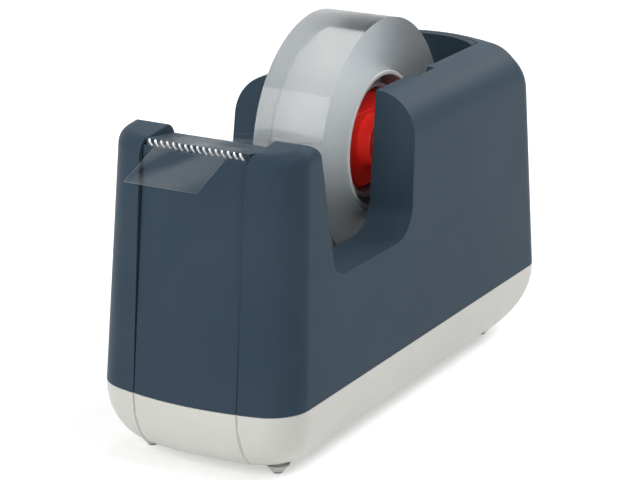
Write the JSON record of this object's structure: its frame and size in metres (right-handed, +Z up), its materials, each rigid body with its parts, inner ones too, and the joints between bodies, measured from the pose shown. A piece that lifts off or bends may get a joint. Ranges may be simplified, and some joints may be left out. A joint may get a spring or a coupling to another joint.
{
  "type": "desktop tape dispenser",
  "caption": "Weighted desktop tape dispenser with dark side covers, pale base, finger cut-outs, a toothed cutter and a lift-out reel that turns on an axle in slanted slots.",
  "frame": {"origin": "on the table, midway across the width and midway between the tape's free end and the rear face", "axes": "+X to the dispenser's right, +Y from the cutter to the rear, +Z up"},
  "size_m": [0.0536, 0.148, 0.0935],
  "materials": {
    "cover_plastic": "satin",
    "well_plastic": "satin",
    "base_plastic": "satin",
    "ballast_iron": "rough",
    "screw_steel": "plated",
    "foot_rubber": "matte",
    "blade_steel": "bright",
    "tape_film": "gloss",
    "axle_steel": "satin",
    "hub_plastic": "satin",
    "clip_plastic": "satin",
    "core_plastic": "satin",
    "wound_tape": "gloss"
  },
  "bodies": {
    "housing": {"right_cover": "cover_plastic", "left_cover": "cover_plastic", "front_panel": "cover_plastic", "rear_panel": "cover_plastic", "roll_well": "well_plastic", "base_tray": "base_plastic", "ballast_block": "ballast_iron", "ballast_screws": "screw_steel", "cover_screws": "screw_steel", "foot_front_left": "foot_rubber", "foot_front_right": "foot_rubber", "foot_rear_left": "foot_rubber", "foot_rear_right": "foot_rubber", "cutter_blade": "blade_steel", "tape_platform": "well_plastic", "tape_tail": "tape_film"},
    "spindle": {"axle": "axle_steel"},
    "reel": {"reel_hub": "hub_plastic", "core_clip": "clip_plastic", "tape_core": "core_plastic", "tape_roll": "wound_tape"}
  },
  "joints": [
    {"name": "reel_lift", "type": "slide", "parent": "housing", "child": "spindle", "axis": [0, 0.5299, 0.848], "range_m": [0, 0.024]},
    {"name": "reel_spin", "type": "hinge", "parent": "spindle", "child": "reel", "pos_m": [0, 0.012, 0.0626], "axis": [1, 0, 0], "continuous": true}
  ]
}
